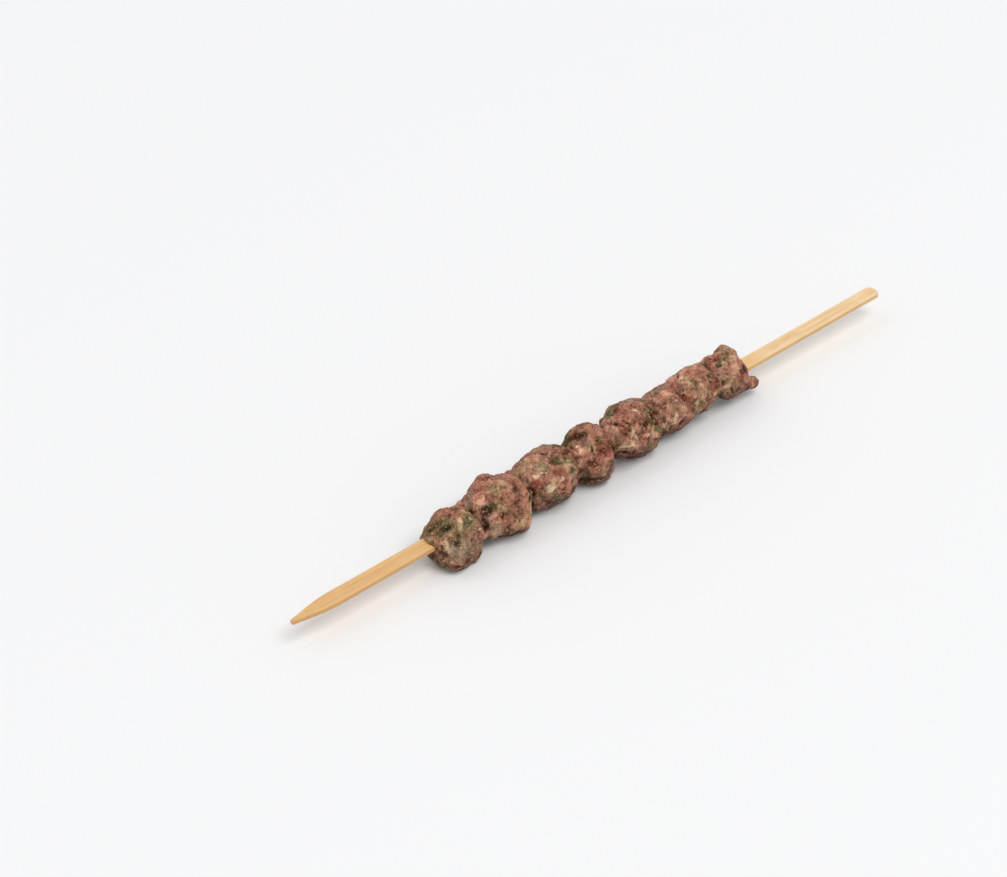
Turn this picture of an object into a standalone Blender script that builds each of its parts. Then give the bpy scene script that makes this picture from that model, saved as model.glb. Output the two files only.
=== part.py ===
"""Kofta skewer: eight lumps of herbed minced meat pressed together on a flat bamboo stick.

The stick lies along X with its point at -X. Z is up, and the object rests on the floor at Z = 0
on the flat undersides of its larger lumps. The origin is under the middle of the whole.
"""

import math

import bmesh
import bpy
from mathutils import Vector, noise

MM = 0.001

# Bamboo stick: a flat slat with a long point, a little narrower towards its square end.
STICK_LENGTH = 300 * MM
STICK_THICKNESS = 1.8 * MM
STICK_HEIGHT = 10.5 * MM  # middle of the slat above the floor
STICK_WIDTH_AT_POINT = 7.1 * MM
STICK_WIDTH_AT_END = 6.1 * MM
POINT_LENGTH = 20 * MM
POINT_TIP_WIDTH = 1.5 * MM
POINT_STEPS = 8
END_CORNER_RADIUS = 1.9 * MM
END_CORNER_STEPS = 4
STICK_EDGE_ROUNDING = 0.25 * MM

# The slot that the stick leaves in the meat, and the gap between two lumps.
SLOT_CLEARANCE = 0.3 * MM
SEAM_GAP = 0.3 * MM

# Each side of the cube that a lump is shaped from has this many cuts.
LUMP_CUTS = 9

# Unevenness of the meat: coarse dents and finer ones.
DENTS = ((7.5 * MM, 0.6 * MM), (4.0 * MM, 0.4 * MM))

# How sharply a pressed side meets the rest of its lump: 2 is very soft, 30 nearly an edge.
FLAT_EDGE = 14

# Where one lump presses on the next: distance from the point of the stick, and how far the
# meeting face leans towards the square end for each millimetre upwards and backwards.
SEAMS = (
    (85.0 * MM, -0.16, 0.36),
    (110.3 * MM, 0.03, 0.03),
    (134.4 * MM, 0.02, 0.22),
    (154.6 * MM, -0.36, 0.48),
    (176.6 * MM, -0.12, 0.28),
    (193.4 * MM, -0.55, 0.31),
    (210.0 * MM, -0.33, 0.17),
)

# Every lump, in millimetres: station of its middle along the stick, its middle's place across
# and above the stick, its reach to each side from there, and how square it is along and around
# the stick. Flats are sides pressed by the hand: a direction and a distance from the middle.
# Swells are soft corners: a direction, a height and a breadth in radians.
# Knobs are small balls of mince that stand out: a place from the middle, and a radius.
LUMPS = (
    dict(
        station=75.0, across=-1.6, above=-1.4,
        towards_point=10.2, towards_end=10.9, half_width=10.0, rise=10.4, drop=11.0,
        along_point=2.3, along_end=3.0, top=2.1, bottom=2.5,
        flats=(),
        swells=(((-0.3, 0.1, 0.95), -0.5, 0.5),),
        knobs=(),
    ),
    dict(
        station=99.0, across=0.2, above=0.2,
        towards_point=15.5, towards_end=14.8, half_width=10.8, rise=11.2, drop=13.6,
        along_point=1.7, along_end=1.6, top=2.6, bottom=3.0,
        flats=(
            ((-0.29, -0.53, -0.80), 11.5),
            ((0.42, 0.42, 0.80), 11.0),
        ),
        swells=(
            ((0.50, -0.6, -0.62), 2.2, 0.35),
            ((-0.1, 0.7, 0.7), 0.6, 0.35),
            ((-0.88, -0.45, 0.1), 1.6, 0.35),
        ),
        knobs=(),
    ),
    dict(
        station=122.8, across=0.2, above=0.4,
        towards_point=14.6, towards_end=15.5, half_width=10.4, rise=10.4, drop=11.0,
        along_point=2.2, along_end=2.3, top=2.2, bottom=2.4,
        flats=(),
        swells=(((0.1, 0.7, 0.7), 0.3, 0.3),),
        knobs=(),
    ),
    dict(
        station=145.3, across=-0.2, above=0.2,
        towards_point=12.8, towards_end=13.6, half_width=10.4, rise=10.8, drop=12.0,
        along_point=1.7, along_end=1.7, top=2.4, bottom=2.7,
        flats=(
            ((-0.29, -0.53, -0.80), 11.4),
            ((0.50, -0.80, -0.33), 11.0),
        ),
        swells=(),
        knobs=(),
    ),
    dict(
        station=166.5, across=0.2, above=0.4,
        towards_point=14.2, towards_end=14.4, half_width=10.3, rise=10.6, drop=11.6,
        along_point=1.8, along_end=1.9, top=2.3, bottom=2.4,
        flats=(((-0.37, -0.47, -0.80), 10.4),),
        swells=(((-0.85, -0.38, 0.38), 3.4, 0.4),),
        knobs=(),
    ),
    dict(
        station=186.0, across=0.0, above=0.1,
        towards_point=14.0, towards_end=13.0, half_width=9.0, rise=9.0, drop=9.0,
        along_point=2.0, along_end=2.0, top=2.1, bottom=2.2,
        flats=(),
        swells=(),
        knobs=(),
    ),
    dict(
        station=201.0, across=0.9, above=0.9,
        towards_point=15.0, towards_end=12.8, half_width=8.6, rise=8.8, drop=8.6,
        along_point=2.0, along_end=2.0, top=2.1, bottom=2.2,
        flats=(),
        swells=(((-0.72, -0.5, 0.5), 1.6, 0.4),),
        knobs=(),
    ),
    dict(
        station=219.2, across=0.2, above=0.4,
        towards_point=15.0, towards_end=8.8, half_width=8.6, rise=9.2, drop=8.0,
        along_point=2.2, along_end=2.6, top=2.3, bottom=2.3,
        flats=(((0.955, -0.16, 0.25), 5.3),),
        swells=(((0.45, 0.62, 0.62), 2.2, 0.35), ((0.65, -0.45, -0.6), 1.2, 0.3)),
        knobs=(((7.9, -4.6, -6.0), 2.5),),
    ),
)


def clear_scene():
    for obj in list(bpy.data.objects):
        bpy.data.objects.remove(obj, do_unlink=True)


def new_collection(name, parent=None):
    made = bpy.data.collections.new(name)
    (parent or bpy.context.scene.collection).children.link(made)
    return made


def new_object(name, data, collection):
    obj = bpy.data.objects.new(name, data)
    collection.objects.link(obj)
    return obj


def new_material(name, colour, roughness):
    """A non-metal with this linear colour."""
    material = bpy.data.materials.new(name)
    material.use_nodes = True
    shader = material.node_tree.nodes["Principled BSDF"]
    shader.inputs["Base Color"].default_value = (*colour, 1.0)
    shader.inputs["Roughness"].default_value = roughness
    shader.inputs["Metallic"].default_value = 0.0
    return material


def place(along, across=0.0, above=0.0):
    """A point given from the point of the stick, in the object's own frame."""
    return Vector((along - STICK_LENGTH / 2, across, above + STICK_HEIGHT))


def stick_width(along):
    """Full width of the slat behind its point."""
    share = along / STICK_LENGTH
    return STICK_WIDTH_AT_POINT + (STICK_WIDTH_AT_END - STICK_WIDTH_AT_POINT) * share


def stick_side():
    """One long edge of the slat as (along, half width), from the tip to the square end."""
    side = []
    shoulder = stick_width(POINT_LENGTH) / 2
    for step in range(POINT_STEPS + 1):
        share = step / POINT_STEPS
        rise = math.sin(share * math.pi / 2) ** 1.15
        half = POINT_TIP_WIDTH / 2 + (shoulder - POINT_TIP_WIDTH / 2) * rise
        side.append((POINT_LENGTH * share, half))
    centre = STICK_LENGTH - END_CORNER_RADIUS
    inner = stick_width(centre) / 2 - END_CORNER_RADIUS
    for step in range(END_CORNER_STEPS + 1):
        turn = math.pi / 2 * step / END_CORNER_STEPS
        side.append(
            (
                centre + END_CORNER_RADIUS * math.sin(turn),
                inner + END_CORNER_RADIUS * math.cos(turn),
            )
        )
    return side


def make_stick(collection, material):
    """The slat: its flat outline, given its thickness, with softened edges."""
    side = stick_side()
    outline = [(along, half) for along, half in side]
    outline += [(along, -half) for along, half in reversed(side)]
    curve = bpy.data.curves.new("bamboo_stick", "CURVE")
    curve.dimensions = "2D"
    curve.fill_mode = "BOTH"
    curve.extrude = STICK_THICKNESS / 2
    spline = curve.splines.new("POLY")
    spline.points.add(len(outline) - 1)
    for point, (along, across) in zip(spline.points, outline):
        spot = place(along, across)
        point.co = (spot.x, spot.y, 0.0, 1.0)
    spline.use_cyclic_u = True
    curve.materials.append(material)
    stick = new_object("bamboo_stick", curve, collection)
    stick.location.z = STICK_HEIGHT
    weld = stick.modifiers.new("close the caps", "WELD")
    weld.merge_threshold = 0.00001
    bevel = stick.modifiers.new("softened edges", "BEVEL")
    bevel.width = STICK_EDGE_ROUNDING
    bevel.segments = 2
    bevel.limit_method = "ANGLE"
    bevel.angle_limit = math.radians(50)
    return stick


def make_slot_cutter(collection):
    """The stick's own shape with clearance, over the length that the meat covers."""
    first = LUMPS[0]["station"] * MM - 20 * MM
    last = LUMPS[-1]["station"] * MM + 15 * MM
    mesh = bpy.data.meshes.new("slot")
    bm = bmesh.new()
    bmesh.ops.create_cube(bm, size=2.0)
    for vert in bm.verts:
        along = last if vert.co.x > 0 else first
        half = stick_width(along) / 2 + SLOT_CLEARANCE
        height = STICK_THICKNESS / 2 + SLOT_CLEARANCE
        vert.co = place(along, vert.co.y * half, vert.co.z * height)
    bm.to_mesh(mesh)
    bm.free()
    cutter = new_object("slot", mesh, collection)
    cutter.hide_render = True
    cutter.display_type = "WIRE"
    return cutter


def lump_reach(lump, direction):
    """How far the lump goes from its middle in a direction, before anything presses on it."""
    side = "end" if direction.x > 0 else "point"
    length, along = lump[f"towards_{side}"], lump[f"along_{side}"]
    height = lump["rise"] if direction.z > 0 else lump["drop"]
    squareness = lump["top"] if direction.z > 0 else lump["bottom"]
    around = (
        abs(direction.y / lump["half_width"]) ** squareness
        + abs(direction.z / height) ** squareness
    ) ** (1 / squareness)
    reach = (abs(direction.x / length) ** along + around**along) ** (-1 / along)
    for towards, height, breadth in lump["swells"]:
        angle = direction.angle(Vector(towards))
        reach += height * math.exp(-((angle / breadth) ** 2))
    for towards, distance in lump["flats"]:
        facing = direction.dot(Vector(towards).normalized())
        if facing > 0:
            reach = (reach**-FLAT_EDGE + (distance / facing) ** -FLAT_EDGE) ** (-1 / FLAT_EDGE)
    return reach * MM


def dented(spot, middle, number):
    """The spot moved in or out by the meat's unevenness, which differs from lump to lump."""
    outwards = (spot - middle).normalized()
    for size, depth in DENTS:
        sample = spot / size + Vector((17.3 * number, 5.1, 9.7))
        spot = spot + outwards * depth * noise.noise(sample)
    return spot


def seam_at(seam, spot):
    """Where the meeting face is, at this spot's height and side."""
    station, lean_up, lean_back = seam
    along = station - STICK_LENGTH / 2
    return along + lean_up * (spot.z - STICK_HEIGHT) + lean_back * spot.y


def pressed(spot, number):
    """The spot kept clear of both neighbours and of the floor."""
    if number > 0:
        spot.x = max(spot.x, seam_at(SEAMS[number - 1], spot) + SEAM_GAP / 2)
    if number < len(SEAMS):
        spot.x = min(spot.x, seam_at(SEAMS[number], spot) - SEAM_GAP / 2)
    spot.z = max(spot.z, 0.0)
    return spot


def make_knob(name, middle, radius, collection):
    """A small uneven ball that a lump is joined with."""
    mesh = bpy.data.meshes.new(f"{name}_knob")
    bm = bmesh.new()
    bmesh.ops.create_uvsphere(bm, u_segments=14, v_segments=9, radius=radius)
    bmesh.ops.translate(bm, verts=bm.verts[:], vec=middle)
    bm.to_mesh(mesh)
    bm.free()
    knob = new_object(f"{name}_knob", mesh, collection)
    knob.hide_render = True
    knob.display_type = "WIRE"
    return knob


def make_lump(number, lump, collection, material, cutter, helpers):
    name = f"kofta_{number + 1}"
    middle = place(lump["station"] * MM, lump["across"] * MM, lump["above"] * MM)
    mesh = bpy.data.meshes.new(name)
    bm = bmesh.new()
    bmesh.ops.create_cube(bm, size=2.0)
    bmesh.ops.subdivide_edges(bm, edges=bm.edges[:], cuts=LUMP_CUTS, use_grid_fill=True)
    for vert in bm.verts:
        # The tangent spreads the cube's grid evenly over the ball.
        direction = Vector([math.tan(value * math.pi / 4) for value in vert.co]).normalized()
        spot = middle + direction * lump_reach(lump, direction)
        vert.co = pressed(dented(spot, middle, number), number)
    bm.to_mesh(mesh)
    bm.free()
    mesh.shade_smooth()
    mesh.materials.append(material)
    obj = new_object(name, mesh, collection)
    for place_in_lump, radius in lump["knobs"]:
        knob = obj.modifiers.new("knob", "BOOLEAN")
        knob.operation = "UNION"
        knob.solver = "EXACT"
        knob.object = make_knob(name, middle + Vector(place_in_lump) * MM, radius * MM, helpers)
    slot = obj.modifiers.new("slot for the stick", "BOOLEAN")
    slot.operation = "DIFFERENCE"
    slot.solver = "EXACT"
    slot.object = cutter
    return obj


def main():
    clear_scene()
    parts = new_collection("kofta_skewer")
    cutters = new_collection("cutters")
    bamboo = new_material("bamboo", (0.78, 0.50, 0.24), 0.55)
    meat = new_material("cooked_mince", (0.29, 0.115, 0.07), 0.5)
    make_stick(parts, bamboo)
    cutter = make_slot_cutter(cutters)
    for number, lump in enumerate(LUMPS):
        make_lump(number, lump, parts, meat, cutter, cutters)


main()
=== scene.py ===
# %% [markdown]
# # A kofta skewer, dressed
#
# Eight lumps of minced meat are pressed by hand onto one flat bamboo stick and grilled. The frame
# gives each lump and the stick at its real size and place. This script keeps those places and makes
# the surfaces: the grain of the mince, the cracks between its granules, chopped herbs, bits of onion
# and fat, and the fibres of the bamboo.
#
# Everything is in metres, with the stick along X and the floor at Z = 0.

# %% Load the frame
import math

import bmesh
import bpy
import numpy as np
from mathutils import Matrix, Vector, noise
from mathutils.bvhtree import BVHTree


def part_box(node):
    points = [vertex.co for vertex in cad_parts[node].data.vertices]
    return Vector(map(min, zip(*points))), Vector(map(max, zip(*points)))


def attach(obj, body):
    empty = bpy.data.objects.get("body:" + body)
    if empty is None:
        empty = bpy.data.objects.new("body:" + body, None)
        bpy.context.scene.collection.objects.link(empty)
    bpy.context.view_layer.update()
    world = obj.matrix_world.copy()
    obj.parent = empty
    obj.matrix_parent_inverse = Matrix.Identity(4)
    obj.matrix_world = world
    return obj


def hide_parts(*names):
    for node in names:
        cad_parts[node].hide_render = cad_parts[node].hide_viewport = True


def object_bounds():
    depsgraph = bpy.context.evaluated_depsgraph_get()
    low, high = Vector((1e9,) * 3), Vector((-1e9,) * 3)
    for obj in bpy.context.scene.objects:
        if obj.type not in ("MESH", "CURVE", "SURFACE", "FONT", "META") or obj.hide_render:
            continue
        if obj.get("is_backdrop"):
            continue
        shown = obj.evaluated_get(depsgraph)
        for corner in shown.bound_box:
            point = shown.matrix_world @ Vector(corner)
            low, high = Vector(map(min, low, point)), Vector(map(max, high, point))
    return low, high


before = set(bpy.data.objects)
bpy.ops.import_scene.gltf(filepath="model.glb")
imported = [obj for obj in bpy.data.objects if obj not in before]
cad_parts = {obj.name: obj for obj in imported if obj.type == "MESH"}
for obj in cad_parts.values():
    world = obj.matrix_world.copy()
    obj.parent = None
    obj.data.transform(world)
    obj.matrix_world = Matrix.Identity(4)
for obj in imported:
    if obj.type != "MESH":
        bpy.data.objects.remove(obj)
cad_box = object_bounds()

MM = 0.001
LUMPS = sorted(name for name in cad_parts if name.startswith("kofta_"))
STICK = "bamboo_stick"
print("lumps:", ", ".join(LUMPS))
print("whole, mm:", [round(side / MM, 1) for side in cad_box[1] - cad_box[0]])

# %% [markdown]
# ## Three small helpers
#
# Colours are picked in sRGB, as a colour picker shows them, but Blender's sockets take linear light, so
# one function converts them. A second adds a node, with its settings and its links, to any tree. A third
# asks Blender for the result of an object's modifiers and keeps it as a plain mesh, because what is
# exported later has to be a mesh and not a recipe.


# %% Colour, node and mesh helpers
def colour(hex_code):
    """The linear RGBA of an sRGB hex code such as 9c6a50."""
    channels = [int(hex_code[i : i + 2], 16) / 255 for i in (0, 2, 4)]
    linear = [c / 12.92 if c <= 0.04045 else ((c + 0.055) / 1.055) ** 2.4 for c in channels]
    return (*linear, 1.0)


def add(tree, kind, inputs=None, **settings):
    """A new node. inputs maps a socket's name or number to its value, or to what feeds it."""
    node = tree.nodes.new(kind)
    for name, value in settings.items():
        setattr(node, name, value)
    for key, value in (inputs or {}).items():
        if isinstance(key, int):
            socket = node.inputs[key]
        else:
            socket = next(s for s in node.inputs if s.name == key and s.enabled)
        if isinstance(value, bpy.types.Node):
            value = next(s for s in value.outputs if s.enabled)
        if isinstance(value, bpy.types.NodeSocket):
            tree.links.new(value, socket)
        else:
            socket.default_value = value
    return node


def made_mesh(obj, name):
    """The mesh that obj's modifiers make, as a mesh of its own. The object is removed."""
    graph = bpy.context.evaluated_depsgraph_get()
    mesh = bpy.data.meshes.new_from_object(
        obj.evaluated_get(graph), preserve_all_data_layers=True, depsgraph=graph
    )
    mesh.name = name
    bpy.data.objects.remove(obj)
    return mesh


def new_object(name, mesh):
    obj = bpy.data.objects.new(name, mesh)
    bpy.context.scene.collection.objects.link(obj)
    return obj


def triangles(mesh):
    return sum(len(face.vertices) - 2 for face in mesh.polygons)


print("mid brown in linear light:", [round(c, 3) for c in colour("9c6a50")])

# %% [markdown]
# ## Places on a lump
#
# Everything that lies on the meat needs a place. A place on a lump is two plain numbers: how far along
# the stick, from -1 at the pointed end to 1 at the blunt end, and how far round it in degrees, with 0
# at the front, 90 on top, 180 at the back and -90 underneath. A ray sent inwards from outside the lump
# turns the two numbers into a point on its surface.

# %% From a place to a point
def surface_of(name):
    """The surface of one of the frame's solids, in a form that rays can be cast at."""
    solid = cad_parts[name].data
    corners = [v.co.copy() for v in solid.vertices]
    faces = [list(face.vertices) for face in solid.polygons]
    return BVHTree.FromPolygons(corners, faces)


surfaces = {name: surface_of(name) for name in LUMPS}


def direction(along, around):
    ring = math.sqrt(1 - along**2)
    turn = math.radians(around)
    return Vector((along, -ring * math.cos(turn), ring * math.sin(turn)))


def spot(name, along, around, sink=0.0):
    """The point of a lump's surface at this place, moved inwards by sink."""
    low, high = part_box(name)
    middle = (low + high) / 2
    outward = direction(along, around)
    hit = surfaces[name].ray_cast(middle + outward * 50 * MM, -outward)[0]
    return hit - outward * sink


print("top of the third lump, mm:", [round(c / MM, 1) for c in spot("kofta_3", 0, 90)])

# %% [markdown]
# ## Folds between the lumps
#
# The cook squeezes a rope of mince round the stick and gives each squeeze a twist, so the lumps stay
# joined by folds that run slantwise over the necks. In a modeller these would be sculpted; here a fold
# is a row of balls along a path from place to place, which the remesh below melts into the lump.

# %% The folds of each lump
FOLDS = {
    "kofta_1": (
        (1.5, 0.7, ("kofta_1", 0.62, 150), ("kofta_1", 0.85, 170), ("kofta_2", -0.75, 190)),
    ),
    "kofta_2": (
        (1.7, 0.5, ("kofta_2", -0.66, 88), ("kofta_2", -0.78, 70), ("kofta_2", -0.88, 50),
         ("kofta_1", 0.66, 40), ("kofta_1", 0.46, 26), ("kofta_1", 0.4, 8)),
        (1.6, 0.7, ("kofta_1", 0.7, -20), ("kofta_2", -0.8, -18), ("kofta_2", -0.6, -34)),
        (1.5, 0.8, ("kofta_1", 0.6, 150), ("kofta_2", -0.8, 158), ("kofta_2", -0.7, 172)),
        (1.8, 0.6, ("kofta_2", -0.05, -12), ("kofta_2", 0.2, -17), ("kofta_2", 0.44, -20)),
        (1.7, 0.6, ("kofta_2", 0.1, 175), ("kofta_2", 0.35, 160), ("kofta_2", 0.55, 150)),
    ),
    "kofta_3": (
        (1.7, 0.8, ("kofta_3", -0.6, 98), ("kofta_3", -0.7, 88), ("kofta_3", -0.82, 68),
         ("kofta_2", 0.86, 40), ("kofta_2", 0.78, 16), ("kofta_2", 0.66, -6), ("kofta_2", 0.56, -18)),
        (1.6, 0.9, ("kofta_2", 0.78, 148), ("kofta_3", -0.8, 160), ("kofta_3", -0.66, 172)),
        (1.9, 0.6, ("kofta_3", -0.2, 2), ("kofta_3", 0.0, 4), ("kofta_3", 0.15, 0)),
        (1.5, 0.6, ("kofta_2", 0.8, 200), ("kofta_3", -0.75, 212), ("kofta_3", -0.5, 222)),
    ),
    "kofta_4": (
        (1.3, 0.4, ("kofta_3", 0.6, 74), ("kofta_4", -0.86, 66), ("kofta_4", -0.86, 44)),
        (1.5, 0.7, ("kofta_3", 0.8, 14), ("kofta_4", -0.86, 6), ("kofta_4", -0.66, -4)),
        (1.5, 0.8, ("kofta_3", 0.66, 148), ("kofta_4", -0.8, 160), ("kofta_4", -0.64, 176)),
        (1.4, 0.5, ("kofta_4", -0.1, 150), ("kofta_4", 0.1, 170), ("kofta_4", 0.2, 195)),
    ),
    "kofta_5": (
        (1.3, 0.2, ("kofta_4", 0.82, 0), ("kofta_5", -0.92, 2), ("kofta_5", -0.78, 10),
         ("kofta_5", -0.6, 6), ("kofta_5", -0.44, -4)),
        (1.8, 0.6, ("kofta_4", 0.8, 48), ("kofta_5", -0.9, 46)),
        (1.4, 0.6, ("kofta_4", 0.74, 80), ("kofta_5", -0.84, 76)),
        (2.8, 1.0, ("kofta_5", -0.3, 64), ("kofta_5", -0.05, 60)),
        (1.7, 0.7, ("kofta_4", 0.75, 170), ("kofta_5", -0.82, 165), ("kofta_5", -0.6, 150)),
    ),
    "kofta_6": (
        (2.1, 0.8, ("kofta_6", -0.6, 50), ("kofta_5", 0.84, 46), ("kofta_5", 0.68, 40)),
        (1.8, 0.8, ("kofta_6", -0.7, 12), ("kofta_5", 0.82, 4), ("kofta_5", 0.7, -8)),
        (1.6, 0.9, ("kofta_6", -0.7, 90), ("kofta_5", 0.76, 84)),
        (1.8, 0.8, ("kofta_6", -0.7, 160), ("kofta_5", 0.78, 150)),
        (1.8, 0.8, ("kofta_6", -0.7, 222), ("kofta_5", 0.78, 214)),
    ),
    "kofta_7": (
        (1.8, 0.8, ("kofta_7", -0.6, 34), ("kofta_6", 0.78, 22), ("kofta_6", 0.6, 14)),
        (1.7, 0.7, ("kofta_7", -0.66, 78), ("kofta_6", 0.72, 92)),
        (1.7, 0.8, ("kofta_7", -0.7, -16), ("kofta_6", 0.72, -24)),
        (1.7, 0.7, ("kofta_7", -0.6, 150), ("kofta_6", 0.72, 166)),
    ),
    "kofta_8": (
        (1.7, 0.7, ("kofta_8", -0.62, 60), ("kofta_7", 0.8, 46), ("kofta_7", 0.6, 36)),
        (1.6, 0.7, ("kofta_8", -0.64, 14), ("kofta_7", 0.74, 2)),
        (1.6, 1.0, ("kofta_8", -0.6, 140), ("kofta_7", 0.76, 150)),
        (1.6, 0.7, ("kofta_8", -0.6, 190), ("kofta_7", 0.74, 200)),
    ),
}


def unit_ball():
    ball = bmesh.new()
    bmesh.ops.create_icosphere(ball, subdivisions=2, radius=1)
    points = np.array([v.co for v in ball.verts])
    faces = np.array([[v.index for v in face.verts] for face in ball.faces])
    ball.free()
    return points, faces


def fold_mesh(name):
    """The folds of a lump: rows of balls along their paths, radius and sink in millimetres."""
    ball, ball_faces = unit_ball()
    points, faces = [], []
    for radius, sink, *places in FOLDS[name]:
        stops = [spot(*place, sink=sink * MM) for place in places]
        for start, end in zip(stops, stops[1:]):
            steps = max(3, round((end - start).length / (0.4 * radius * MM)))
            for step in range(steps + 1):
                middle = start.lerp(end, step / steps)
                size = radius * MM * (1 + 0.3 * noise.noise(middle / (2.5 * MM)))
                faces.append(ball_faces + len(ball) * len(points))
                points.append(ball * size + np.array(middle))
    mesh = bpy.data.meshes.new(name + "_folds")
    mesh.from_pydata(np.concatenate(points).tolist(), [], np.concatenate(faces).tolist())
    return mesh


print(sum(map(len, FOLDS.values())), "folds")

# %% [markdown]
# ## The lumps without their facets
#
# The frame's lumps are faceted, with a slot where the stick goes through. Real mince closes round the
# stick and has no facets. A voxel remesh turns the lump, its folds, and a block that fills its slot into
# one even skin; smoothing takes the facets off it, and one subdivision makes its faces about 0.2 mm,
# fine enough to carry the grain of the mince as real relief. A sculpted brush would do the same by
# hand, but this way keeps each lump's own size.

# %% One even skin for each lump
WELD = 0.001 * MM
SLOT_CLEARANCE = 0.3 * MM
SKIN_VOXEL = 0.38 * MM
ROUGH_VOXEL = 0.9 * MM
SKIN_SMOOTHING = 10  # passes, a little under 1 mm of softening
slot_low, slot_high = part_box(STICK)


def fill_slot(work):
    """Adds a block that closes the stick's slot, a little shorter than the slot's own walls."""
    margin = 2 * WELD + SLOT_CLEARANCE
    walls = [
        v.co.x
        for v in work.verts
        if abs(v.co.y) < slot_high.y + margin and slot_low.z - margin < v.co.z < slot_high.z + margin
    ]
    start, end = min(walls) + 0.6 * MM, max(walls) - 0.6 * MM
    size = (end - start, slot_high.y - slot_low.y + 4 * SLOT_CLEARANCE, 8 * SLOT_CLEARANCE)
    middle = Vector(((start + end) / 2, 0, (slot_low.z + slot_high.z) / 2))
    bmesh.ops.create_cube(work, size=1, matrix=Matrix.Translation(middle) @ Matrix.Diagonal((*size, 1)))


def skin_of(name, voxel, smoothing, finer):
    """A lump's skin: closed, even and smooth, at the lump's own place."""
    mesh = bpy.data.meshes.new(name + "_skin")
    work = bmesh.new()
    work.from_mesh(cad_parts[name].data)
    bmesh.ops.remove_doubles(work, verts=work.verts, dist=WELD)
    fill_slot(work)
    work.from_mesh(fold_mesh(name))
    work.to_mesh(mesh)
    work.free()
    obj = new_object(name + "_skin", mesh)
    remesh = obj.modifiers.new("Even skin", "REMESH")
    remesh.mode = "VOXEL"
    remesh.voxel_size = voxel
    smooth = obj.modifiers.new("Facets off", "SMOOTH")
    smooth.factor = 0.5
    smooth.iterations = smoothing
    if finer:
        subdivision = obj.modifiers.new("Finer", "SUBSURF")
        subdivision.levels = subdivision.render_levels = finer
    return made_mesh(obj, name + "_skin")


skins = {name: skin_of(name, SKIN_VOXEL, SKIN_SMOOTHING, 1) for name in LUMPS}
rough_skins = {name: skin_of(name, ROUGH_VOXEL, 2, 0) for name in LUMPS}
for name, skin in skins.items():
    print(name, len(skin.vertices), "points,", triangles(skin), "triangles")
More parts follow.
